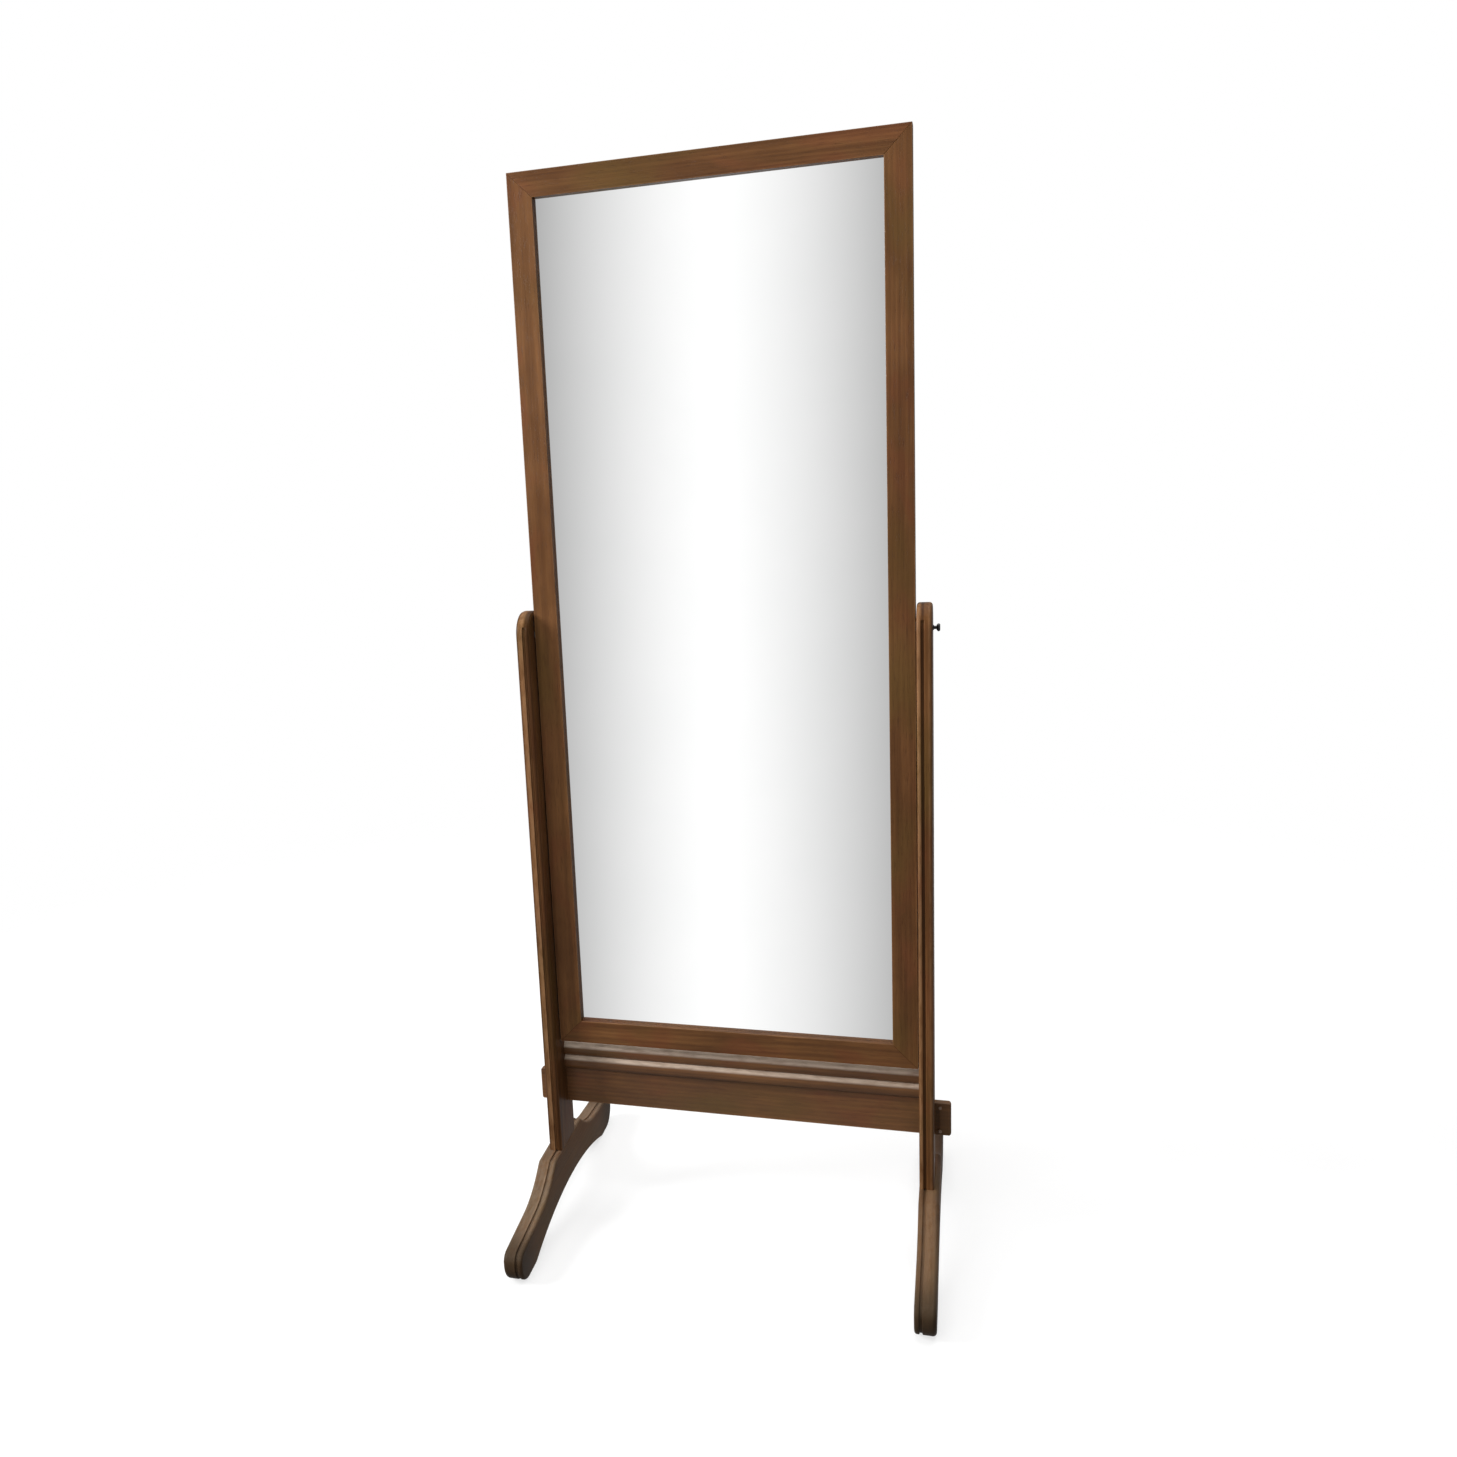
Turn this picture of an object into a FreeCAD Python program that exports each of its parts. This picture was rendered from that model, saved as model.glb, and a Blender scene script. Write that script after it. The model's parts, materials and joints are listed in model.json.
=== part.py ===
import FreeCAD, Part
import math
import os
import re
import Sketcher

# Cheval floor mirror: a mitred frame with a mirror glass, hung between two posts on a pair of
# knobbed studs. The posts stand on arched feet and a moulded stretcher ties them together.
#
# Frame of reference: X across the mirror, -Y towards the person in front, +Z up, millimetres.
# The origin is on the floor, midway between the feet and midway along them.

os.makedirs("parts", exist_ok=True)
doc = FreeCAD.newDocument("cheval_mirror")

# ---------------------------------------------------------------- driving dimensions

SIZES = [
    ("frame_width", 580, "outside width of the mirror frame"),
    ("frame_height", 1375, "outside height of the mirror frame"),
    ("frame_depth", 26, "thickness of the frame, front to back"),
    ("stile_width", 38, "face width of stiles and rails"),
    ("lip_depth", 8.8, "front of the frame to the front of the glass"),
    ("lip_cover", 7, "how far the lip covers the glass edge"),
    ("glass_thick", 4, "mirror glass"),
    ("felt_thick", 2, "felt sheet behind the glass"),
    ("board_thick", 4, "backing board"),
    ("board_lap", 11, "ledge that the backing board is screwed to"),
    ("panel_play", 0.5, "play round the glass, the felt and the board"),
    ("key_thick", 3, "mitre key"),
    ("key_leg", 38, "length of a mitre key along each side of its corner"),
    ("screw_shank", 3, "backing screw, shank diameter"),
    ("screw_head", 6, "backing screw, head diameter"),
    ("screw_head_thick", 1.8, "backing screw, head height"),
    ("screw_length", 12, "backing screw, under the head"),
    ("pivot_height", 980.5, "height of the tilt axis above the floor"),
    ("side_gap", 1.6, "frame side to post"),
    ("post_thick", 22, "post, across"),
    ("post_depth", 78, "post, front to back"),
    ("post_top", 1017, "top of the post above the floor"),
    ("post_crown", 35, "radius of the two rounded corners at the post's top"),
    ("bead_width", 6.8, "inner bead of the moulded edge, beside the groove"),
    ("groove_width", 4, "groove of the moulded edge"),
    ("groove_depth", 2.4, "depth of that groove"),
    ("groove_round", 1.4, "rounding of the groove's two mouth arrises"),
    ("groove_stop", 21, "post's top down to the end of its groove"),
    ("bead_round", 4, "rounding of the inner arris of posts and feet"),
    ("post_outer_round", 4.5, "rounding of the post's outer arris"),
    ("foot_thick", 31, "foot, across"),
    ("foot_inset", 0.5, "how far the foot stands proud of the post on its inner side"),
    ("foot_half", 264, "half of the foot's length"),
    ("foot_shoulder", 105, "height of the foot's top, where the post stands"),
    ("shoulder_half", 73, "half of the length of that flat top"),
    ("shoulder_round", 12, "rounding at the end of the flat top"),
    ("sweep_y", 121, "corner of the sweep, distance from the middle"),
    ("sweep_z", 68, "corner of the sweep, height"),
    ("sweep_round", 145, "radius of the sweep"),
    ("toe_height", 54, "height of the toe's top corner"),
    ("toe_round", 18, "rounding of the toe's top"),
    ("toe_round_low", 34, "rounding of the toe's underside"),
    ("arch_half", 205, "half of the span of the arch under the foot"),
    ("arch_rise", 37, "height of the arch under the foot"),
    ("foot_outer_round", 6, "rounding of the foot's outer top arris"),
    ("rail_front", 12, "stretcher board's front face, behind the middle of the post"),
    ("rail_thick", 20, "stretcher board, front to back"),
    ("rail_low", 172, "underside of the stretcher"),
    ("rail_flat", 60, "height of the stretcher's flat face"),
    ("bead_height", 24, "height of each of the two reeds above the flat face"),
    ("low_reed_bulge", 9, "how far the lower reed stands out"),
    ("top_reed_bulge", 6.5, "how far the upper reed stands out"),
    ("tenon_height", 53.5, "height of the through tenon"),
    ("tenon_thick", 12, "through tenon, front to back; its face is flush with the board's"),
    ("tenon_reach", 25, "length of tenon outside the post"),
    ("tenon_round", 4, "rounding of the tenon's end"),
    ("peg_diameter", 5, "peg through the tenon"),
    ("peg_reach", 8.5, "peg centre to the post's outer face"),
    ("peg_high", 7.5, "upper peg's centre to the tenon's top"),
    ("peg_low", 6, "lower peg's centre to the tenon's underside"),
    ("peg_proud", 1.2, "how far a peg stands out of the tenon"),
    ("slot_width", 6, "slot from peg to peg in the front of the tenon"),
    ("slot_depth", 2.5, "depth of that slot"),
    ("slot_start", 1.5, "post's outer face to the slot"),
    ("stud_diameter", 5, "pivot stud"),
    ("running_play", 0.05, "radial clearance round the pivot stud"),
    ("insert_diameter", 10, "threaded insert in the stile"),
    ("insert_length", 16, "length of the threaded insert"),
    ("stud_in_insert", 13, "how far the stud reaches into the stile"),
    ("washer_diameter", 20, "washer between frame and post"),
    ("washer_thick", 1.2, "thickness of that washer"),
    ("ferrule_diameter", 9, "flared ferrule where the stud leaves the post"),
    ("ferrule_length", 1.8, "length of the ferrule"),
    ("knob_diameter", 11.5, "head of the knob"),
    ("knob_length", 5, "length of the knob's head"),
    ("knob_reach", 10.5, "post's outer face to the end of the knob"),
    ("dowel_diameter", 8, "dowel between post and foot"),
    ("dowel_half", 24, "half of the dowel's length"),
    ("dowel_offset", 24, "dowel centre from the middle of the post"),
    ("bolt_diameter", 6, "bolt between post and foot"),
    ("bolt_head", 12, "bolt head diameter"),
    ("bolt_head_thick", 5, "bolt head height"),
    ("bolt_recess", 14, "depth of the bolt's counterbore in the arch"),
    ("nut_diameter", 10, "barrel nut in the post"),
    ("nut_length", 16, "length of the barrel nut"),
    ("nut_height", 30, "barrel nut above the foot's top"),
]

sheet = doc.addObject("Spreadsheet::Sheet", "Sizes")
for row, (alias, size, note) in enumerate(SIZES, start=1):
    sheet.set(f"A{row}", alias)
    sheet.set(f"B{row}", str(size))
    sheet.set(f"C{row}", note)
    sheet.setAlias(f"B{row}", alias)
doc.recompute()

ALIASES = {alias for alias, size, note in SIZES}

# Places that several pieces share, as formulas of the driving dimensions.
PLACES = {
    "glass_front": "(lip_depth - frame_depth / 2)",
    "glass_back": "(glass_front + glass_thick)",
    "board_front": "(glass_back + felt_thick)",
    "board_back": "(board_front + board_thick)",
    "rebate_inset": "(stile_width - lip_cover)",
    "board_inset": "(rebate_inset - board_lap)",
    "screw_inset": "(rebate_inset - board_lap / 2)",
    "post_inner": "(frame_width / 2 + side_gap)",
    "post_outer": "(post_inner + post_thick)",
    "post_middle": "(post_inner + post_thick / 2)",
    "foot_inner": "(post_inner - foot_inset)",
    "rail_back": "(rail_front + rail_thick)",
    "tenon_back": "(rail_front + tenon_thick)",
    "reed_low": "(rail_low + rail_flat)",
    "reed_mid": "(reed_low + bead_height)",
    "rail_top": "(reed_mid + bead_height)",
    "tenon_end": "(post_outer + tenon_reach)",
    "peg_x": "(post_outer + peg_reach)",
    "bolt_head_top": "(arch_rise + bolt_recess)",
    "nut_z": "(foot_shoulder + nut_height)",
}


def formula(text):
    """Spell out shared places and prefix every driving dimension with its sheet."""
    def spell(match):
        word = match.group(0)
        if word in PLACES:
            return formula(PLACES[word])
        if word in ALIASES:
            return "Sizes." + word
        return word
    return re.sub(r"[a-z]\w*", spell, text)


def number(text):
    """The present value of a formula."""
    return float(sheet.evalExpression(formula(text)))


def bind(thing, prop, text):
    """Tie a property to a formula of the sheet."""
    thing.setExpression(prop, formula(text))


# ---------------------------------------------------------------- sketches and bodies

X_AXIS = FreeCAD.Vector(1, 0, 0)
Y_AXIS = FreeCAD.Vector(0, 1, 0)
TURNS = {
    "+Z": FreeCAD.Rotation(),
    "-Z": FreeCAD.Rotation(X_AXIS, 180),
    "+X": FreeCAD.Rotation(Y_AXIS, 90),
    "-X": FreeCAD.Rotation(Y_AXIS, -90),
    "+Y": FreeCAD.Rotation(X_AXIS, -90),
    "-Y": FreeCAD.Rotation(X_AXIS, 90),
}


def new_body(label):
    body = doc.addObject("PartDesign::Body", label)
    body.Label = label
    return body


def body_sketch(body, role, name):
    """A sketch on one of the body's own origin planes."""
    sketch = body.newObject("Sketcher::SketchObject", name)
    plane = next(f for f in body.Origin.OriginFeatures if f.Role == role)
    sketch.AttachmentSupport = [(plane, "")]
    sketch.MapMode = "FlatFace"
    return sketch


def fix_point(sketch, geometry, position, u_text, v_text):
    """Hold one point of a sketch at a place given by two formulas."""
    for kind, text in (("DistanceX", u_text), ("DistanceY", v_text)):
        index = sketch.addConstraint(
            Sketcher.Constraint(kind, -1, 1, geometry, position, number(text)))
        sketch.setExpression(f"Constraints[{index}]", formula(text))


def outline(sketch, corners, arcs=None):
    """Draw a closed outline through corners of (u, v, rounding or None).

    arcs gives the rise of the edges that are arcs, by the index of their first corner.
    """
    arcs = arcs or {}
    count = len(corners)
    points = [FreeCAD.Vector(number(u), number(v), 0) for u, v, _ in corners]
    leaving = []
    arriving = []
    for i, (_, _, rounding) in enumerate(corners):
        here = points[i]
        if rounding is None:
            arriving.append(here)
            leaving.append(here)
            continue
        back = (points[i - 1] - here).normalize()
        ahead = (points[(i + 1) % count] - here).normalize()
        reach = number(rounding) / math.tan(back.getAngle(ahead) / 2)
        arriving.append(here + back * reach)
        leaving.append(here + ahead * reach)

    edges = []
    for i in range(count):
        start = leaving[i]
        end = arriving[(i + 1) % count]
        if i in arcs:
            chord = end - start
            side = FreeCAD.Vector(-chord.y, chord.x, 0).normalize()
            crown = (start + end) / 2 + side * number(arcs[i])
            edges.append(sketch.addGeometry(Part.Arc(start, crown, end), False))
        else:
            edges.append(sketch.addGeometry(Part.LineSegment(start, end), False))

    def end_at(geometry, place):
        first = sketch.getPoint(geometry, 1)
        return 1 if (first - place).Length < 1e-4 else 2

    for i, (u, v, rounding) in enumerate(corners):
        before = edges[i - 1]
        after = edges[i]
        before_end = end_at(before, arriving[i])
        after_end = end_at(after, leaving[i])
        if rounding is None:
            sketch.addConstraint(
                Sketcher.Constraint("Coincident", before, before_end, after, after_end))
            fix_point(sketch, after, after_end, u, v)
            continue
        bisector = ((arriving[i] + leaving[i]) / 2 - points[i]).normalize()
        half = (arriving[i] - points[i]).getAngle(bisector)
        radius = number(rounding)
        centre = points[i] + bisector * (radius / math.sin(half))
        nearest = centre - bisector * radius
        corner = sketch.addGeometry(Part.Arc(arriving[i], nearest, leaving[i]), False)
        tip = sketch.addGeometry(Part.Point(points[i]), True)
        fix_point(sketch, tip, 1, u, v)
        sketch.addConstraint(Sketcher.Constraint("PointOnObject", tip, 1, before))
        sketch.addConstraint(Sketcher.Constraint("PointOnObject", tip, 1, after))
        sketch.addConstraint(Sketcher.Constraint(
            "Tangent", before, before_end, corner, end_at(corner, arriving[i])))
        sketch.addConstraint(Sketcher.Constraint(
            "Tangent", after, after_end, corner, end_at(corner, leaving[i])))
        index = sketch.addConstraint(Sketcher.Constraint("Radius", corner, radius))
        sketch.setExpression(f"Constraints[{index}]", formula(rounding))

    for i, rise in arcs.items():
        chord = number(corners[(i + 1) % count][0]) - number(corners[i][0])
        height = number(rise)
        radius = (chord * chord / 4 + height * height) / (2 * abs(height))
        sketch.addConstraint(Sketcher.Constraint("Radius", edges[i], radius))
        u0, v0, _ = corners[i]
        u1, v1, _ = corners[(i + 1) % count]
        square = f"((({u1}) - ({u0})) ^ 2 + (({v1}) - ({v0})) ^ 2) / 4"
        index = sketch.ConstraintCount - 1
        sketch.setExpression(f"Constraints[{index}]", formula(
            f"({square} + ({rise}) ^ 2) / (2 * abs({rise}))"))


def pad(body, name, sketch, length):
    """Pad both ways from the sketch, by a length overall."""
    feature = body.newObject("PartDesign::Pad", name)
    feature.Profile = sketch
    feature.Midplane = True
    bind(feature, "Length", length)
    return feature


def pocket(body, name, sketch, length=None):
    """Cut both ways from the sketch: by a length overall, or right through."""
    doc.recompute()
    before = body.Shape.Volume
    feature = body.newObject("PartDesign::Pocket", name)
    feature.Profile = sketch
    feature.Midplane = True
    if length is None:
        feature.Type = "ThroughAll"
    else:
        bind(feature, "Length", length)
    doc.recompute()
    if body.Shape.Volume > before - 1:
        raise RuntimeError(f"{name} cuts nothing from {body.Label}")
    return feature


def place(thing, x="0", y="0", z="0", turn="+Z"):
    thing.Placement = FreeCAD.Placement(FreeCAD.Vector(0, 0, 0), TURNS[turn])
    bind(thing, "Placement.Base.x", x)
    bind(thing, "Placement.Base.y", y)
    bind(thing, "Placement.Base.z", z)


# ---------------------------------------------------------------- primitives and booleans

def cylinder(name, diameter, length, x="0", y="0", z="0", turn="+Z"):
    """A cylinder that starts at x, y, z and runs the way turn says."""
    thing = doc.addObject("Part::Cylinder", name)
    bind(thing, "Radius", f"({diameter}) / 2")
    bind(thing, "Height", length)
    place(thing, x, y, z, turn)
    return thing


def box(name, x, y, z):
    """A box between pairs of formulas along X, Y and Z."""
    thing = doc.addObject("Part::Box", name)
    for prop, (low, high) in zip(("Length", "Width", "Height"), (x, y, z)):
        bind(thing, prop, f"({high}) - ({low})")
    place(thing, x[0], y[0], z[0])
    return thing


def group(name, members):
    thing = doc.addObject("Part::Compound", name)
    thing.Links = members
    return thing


def cut(name, base, tools):
    thing = doc.addObject("Part::Cut", name)
    thing.Base = base
    thing.Tool = tools[0] if len(tools) == 1 else group(name + "_tools", tools)
    return thing


def join(name, members):
    thing = doc.addObject("Part::MultiFuse", name)
    thing.Shapes = members
    return thing


def mirrored(name, source):
    """The same piece on the other side of the YZ plane."""
    thing = doc.addObject("Part::Mirroring", name)
    thing.Source = source
    thing.Normal = X_AXIS
    return thing


def rounded(name, base, radius, choose):
    """Round the edges of base that choose accepts."""
    doc.recompute()
    size = number(radius)
    picked = [(i, size, size) for i, edge in enumerate(base.Shape.Edges, start=1) if choose(edge)]
    thing = doc.addObject("Part::Fillet", name)
    thing.Base = base
    thing.Edges = picked
    return thing


def lies_in(edge, axis, level, slack=0.01):
    """True for an edge that lies in the plane where the axis has that level."""
    box_ = edge.BoundBox
    low = getattr(box_, axis + "Min")
    high = getattr(box_, axis + "Max")
    return abs(low - level) < slack and abs(high - level) < slack


kept = {}


def keep(label, thing):
    """Name a finished sub-part; its label names its file."""
    thing.Label = label
    kept[label] = thing
    return thing


# ---------------------------------------------------------------- mirror frame

def frame_section(sketch, side, across):
    """Section of a frame member, from its outer edge inwards; across is the half span."""
    def at(inset, depth):
        return (f"{side} * ({across} - ({inset}))", depth)
    points = [
        at("0", "-frame_depth / 2"),
        at("stile_width", "-frame_depth / 2"),
        at("stile_width", "glass_front"),
        at("rebate_inset", "glass_front"),
        at("rebate_inset", "board_front"),
        at("board_inset", "board_front"),
        at("board_inset", "frame_depth / 2"),
        at("0", "frame_depth / 2"),
    ]
    return points


SCREWS_ON_STILE = [-0.42, -0.21, 0, 0.21, 0.42]
SCREWS_ON_RAIL = [-0.25, 0.25]


def screw_places():
    """Centres of the backing screws in the plane of the frame, from its middle."""
    places = []
    for side in (-1, 1):
        for share in SCREWS_ON_STILE:
            places.append((f"{side} * (frame_width / 2 - screw_inset)", f"{share} * frame_height"))
        for share in SCREWS_ON_RAIL:
            places.append((f"{share} * frame_width", f"{side} * (frame_height / 2 - screw_inset)"))
    return places


def corner_triangle(across, up, reach):
    """A right triangle at a corner of the frame; across and up are -1 or 1."""
    half_x = f"{across} * frame_width / 2"
    half_z = f"{up} * frame_height / 2"
    return [
        (half_x, half_z, None),
        (f"{across} * (frame_width / 2 - ({reach}))", half_z, None),
        (half_x, f"{up} * (frame_height / 2 - ({reach}))", None),
    ]


def frame_member(label, upright, side):
    """One mitred member. Its own origin is the middle of the frame, on the tilt axis."""
    body = new_body(label)
    profile = body_sketch(body, "XY_Plane" if upright else "YZ_Plane", label + "_section")
    if upright:
        section = frame_section(profile, side, "frame_width / 2")
        outline(profile, [(u, v, None) for u, v in section])
        pad(body, label + "_length", profile, "frame_height")
    else:
        section = frame_section(profile, side, "frame_height / 2")
        outline(profile, [(v, u, None) for u, v in section])
        pad(body, label + "_length", profile, "frame_width")

    for end in (-1, 1):
        mitre = body_sketch(body, "XZ_Plane", f"{label}_mitre_{'low' if end < 0 else 'high'}")
        across, up = (side, end) if upright else (end, side)
        tip = (f"{across} * frame_width / 2", f"{up} * frame_height / 2", None)
        far = "(stile_width + 4)"
        inner = (f"{across} * (frame_width / 2 - {far})", f"{up} * (frame_height / 2 - {far})", None)
        if upright:
            outer = (f"{across} * (frame_width / 2 - {far})", f"{up} * frame_height / 2", None)
        else:
            outer = (f"{across} * frame_width / 2", f"{up} * (frame_height / 2 - {far})", None)
        outline(mitre, [tip, inner, outer])
        pocket(body, f"{label}_mitre_cut_{'low' if end < 0 else 'high'}", mitre)

    slots = body_sketch(body, "XZ_Plane", label + "_key_slots")
    for end in (-1, 1):
        across, up = (side, end) if upright else (end, side)
        outline(slots, corner_triangle(across, up, "key_leg"))
    pocket(body, label + "_key_cut", slots, "key_thick")

    place(body, z="pivot_height")
    holes = []
    for i, (x, z) in enumerate(screw_places()):
        own = abs(number(x)) > number("frame_width / 2 - stile_width")
        own_side = number(x) * side > 0 if upright else number(z) * side > 0
        if own == upright and own_side:
            holes.append(cylinder(
                f"{label}_hole_{i}", "screw_shank", "screw_length - board_thick",
                x, "board_front", f"pivot_height + {z}", "-Y"))
    return body, holes


for label, upright, side in (
        ("frame_left_stile", True, -1), ("frame_right_stile", True, 1),
        ("frame_bottom_rail", False, -1), ("frame_top_rail", False, 1)):
    body, holes = frame_member(label + "_stock", upright, side)
    if upright:
        holes.append(cylinder(
            label + "_insert_hole", "insert_diameter", "insert_length",
            f"{side} * frame_width / 2", "0", "pivot_height", "-X" if side > 0 else "+X"))
    keep(label, cut(label + "_bored", body, holes))

key_sketch = doc.addObject("Sketcher::SketchObject", "mitre_key_outlines")
for across in (-1, 1):
    for up in (-1, 1):
        outline(key_sketch, corner_triangle(across, up, "key_leg"))
key_sketch.Placement = FreeCAD.Placement(FreeCAD.Vector(0, 0, 0), TURNS["-Y"])
bind(key_sketch, "Placement.Base.z", "pivot_height")
keys = doc.addObject("Part::Extrusion", "mitre_key_stock")
keys.Base = key_sketch
keys.DirMode = "Custom"
keys.Dir = Y_AXIS
keys.Solid = True
keys.Symmetric = True
bind(keys, "LengthFwd", "key_thick")
keep("mitre_keys", keys)

# ---------------------------------------------------------------- glass, felt and backing


def panel(label, inset, front, back):
    """A flat sheet in the frame, inset from the frame's outer edges."""
    half_x = f"(frame_width / 2 - {inset} - panel_play)"
    half_z = f"(frame_height / 2 - {inset} - panel_play)"
    return box(label, (f"-{half_x}", half_x), (front, back),
               (f"pivot_height - {half_z}", f"pivot_height + {half_z}"))


keep("mirror_glass", panel("glass_sheet", "rebate_inset", "glass_front", "glass_back"))
keep("glass_felt", panel("felt_sheet", "rebate_inset", "glass_back", "board_front"))

board = panel("board_sheet", "board_inset", "board_front", "board_back")
board_holes = []
screws = []
for i, (x, z) in enumerate(screw_places()):
    height = f"pivot_height + {z}"
    board_holes.append(cylinder(
        f"board_hole_{i}", "screw_shank", "board_thick + 2", x, "board_front - 1", height, "+Y"))
    shank = cylinder(
        f"screw_shank_{i}", "screw_shank", "screw_length", x, "board_back", height, "-Y")
    head = cylinder(
        f"screw_head_{i}", "screw_head", "screw_head_thick", x, "board_back", height, "+Y")
    screws.append(join(f"screw_{i}", [shank, head]))
keep("backing_board", cut("backing_board_bored", board, board_holes))
keep("backing_screws", group("backing_screw_set", screws))

# ---------------------------------------------------------------- moulded boards


def side_sketch(name, corners, arcs=None):
    """An outline in the YZ plane, seen from the side of the mirror."""
    sketch = doc.addObject("Sketcher::SketchObject", name)
    sketch.Placement = FreeCAD.Placement(
        FreeCAD.Vector(0, 0, 0), FreeCAD.Rotation(FreeCAD.Vector(1, 1, 1), 120))
    outline(sketch, corners, arcs)
    return sketch


def slab(name, profile, start, length):
    """Extrude an outline in the YZ plane along X."""
    thing = doc.addObject("Part::Extrusion", name)
    thing.Base = profile
    thing.DirMode = "Custom"
    thing.Dir = X_AXIS
    thing.Solid = True
    bind(thing, "LengthFwd", length)
    bind(thing, "Placement.Base.x", start)
    return thing


def groove_tool(name, profile, start, plain):
    """Tool for the groove that runs round an outline, except where the boxes in plain cover it."""
    core = doc.addObject("Part::Offset2D", name + "_core_outline")
    core.Source = profile
    core.Fill = False
    core.Join = "Intersection"
    bind(core, "Value", "-groove_depth")
    outer = slab(name + "_outer", profile, start, "groove_width")
    inner = slab(name + "_inner", core, start, "groove_width")
    return cut(name, outer, [inner] + plain)


def moulded_arris(profile, side, plain_levels):
    """Accepts the edges where an outline meets the plane X = side, except where they start and
    end on one of the plain levels of Z."""
    level = number(side)

    def choose(edge):
        if not lies_in(edge, "X", level):
            return False
        for plain in plain_levels:
            if all(abs(vertex.Z - number(plain)) < 0.01 for vertex in edge.Vertexes):
                return False
        middle = edge.valueAt((edge.FirstParameter + edge.LastParameter) / 2)
        middle.x = 0
        return profile.Shape.distToShape(Part.Vertex(middle))[0] < 0.01
    return choose


def moulded(name, base, profile, plain_levels, roundings):
    """Round the arrises of a board one side after another: roundings are (X of the side, radius)."""
    for i, (side, radius) in enumerate(roundings):
        base = rounded(f"{name}_{i}", base, radius, moulded_arris(profile, side, plain_levels))
    return base


GROOVE = ("(post_inner + bead_width)", "(post_inner + bead_width + groove_width)")

post_sketch = side_sketch("post_outline", [
    ("-post_depth / 2", "foot_shoulder", None),
    ("post_depth / 2", "foot_shoulder", None),
    ("post_depth / 2", "post_top", "post_crown"),
    ("-post_depth / 2", "post_top", "post_crown"),
])
post_blank = slab("post_blank", post_sketch, "post_inner", "post_thick")
post_plain = box(
    "post_plain_end", GROOVE,
    ("-post_depth / 2 + groove_depth", "post_depth / 2 - groove_depth"),
    ("foot_shoulder", "foot_shoulder + 2 * groove_depth"))
post_plain_crown = box(
    "post_plain_crown", GROOVE, ("-post_depth / 2 - 1", "post_depth / 2 + 1"),
    ("post_top - groove_stop", "post_top + 1"))
post_groove = groove_tool("post_groove", post_sketch, GROOVE[0], [post_plain, post_plain_crown])
post_grooved = cut("post_grooved", post_blank, [post_groove])
post_moulded = moulded("post_moulded", post_grooved, post_sketch, ["foot_shoulder"], [
    ("post_inner", "bead_round"),
    ("post_outer", "post_outer_round"),
    (GROOVE[0], "groove_round"),
    (GROOVE[1], "groove_round"),
])
post_cuts = [
    box("post_mortise", ("post_inner - 1", "post_outer + 1"), ("rail_front", "tenon_back"),
        ("rail_low", "rail_low + tenon_height")),
    cylinder("post_pivot_bore", "stud_diameter + 2 * running_play", "post_thick + 2",
             "post_inner - 1", "0", "pivot_height", "+X"),
    join("post_bolt_and_nut_hole", [
        cylinder("post_bolt_hole", "bolt_diameter", "nut_height + 20",
                 "post_middle", "0", "foot_shoulder", "+Z"),
        cylinder("post_nut_hole", "nut_diameter", "nut_length",
                 "post_outer", "0", "nut_z", "-X")]),
]
for sign in (-1, 1):
    post_cuts.append(cylinder(
        f"post_dowel_hole_{'front' if sign < 0 else 'back'}", "dowel_diameter", "dowel_half",
        "post_middle", f"{sign} * dowel_offset", "foot_shoulder", "+Z"))
keep("right_post", cut("right_post_bored", post_moulded, post_cuts))

foot_sketch = side_sketch("foot_outline", [
    ("-arch_half", "0", None),
    ("arch_half", "0", None),
    ("foot_half", "0", "toe_round_low"),
    ("foot_half", "toe_height", "toe_round"),
    ("sweep_y", "sweep_z", "sweep_round"),
    ("shoulder_half", "foot_shoulder", "shoulder_round"),
    ("-shoulder_half", "foot_shoulder", "shoulder_round"),
    ("-sweep_y", "sweep_z", "sweep_round"),
    ("-foot_half", "toe_height", "toe_round"),
    ("-foot_half", "0", "toe_round_low"),
], arcs={0: "arch_rise"})
foot_blank = slab("foot_blank", foot_sketch, "foot_inner", "foot_thick")
foot_plain = box(
    "foot_plain_underside", GROOVE,
    ("-foot_half + toe_round_low", "foot_half - toe_round_low"), ("-1", "arch_rise + 8"))
foot_groove = groove_tool("foot_groove", foot_sketch, GROOVE[0], [foot_plain])
foot_grooved = cut("foot_grooved", foot_blank, [foot_groove])
foot_moulded = moulded("foot_moulded", foot_grooved, foot_sketch, ["0"], [
    ("foot_inner", "bead_round"),
    ("foot_inner + foot_thick", "foot_outer_round"),
    (GROOVE[0], "groove_round"),
    (GROOVE[1], "groove_round"),
])
foot_cuts = [
    cylinder("foot_bolt_hole", "bolt_diameter", "foot_shoulder",
             "post_middle", "0", "0", "+Z"),
    cylinder("foot_bolt_recess", "bolt_head", "bolt_head_top",
             "post_middle", "0", "0", "+Z"),
]
for sign in (-1, 1):
    foot_cuts.append(cylinder(
        f"foot_dowel_hole_{'front' if sign < 0 else 'back'}", "dowel_diameter", "dowel_half",
        "post_middle", f"{sign} * dowel_offset", "foot_shoulder - dowel_half", "+Z"))
keep("right_foot", cut("right_foot_bored", foot_moulded, foot_cuts))

# ---------------------------------------------------------------- stretcher

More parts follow.
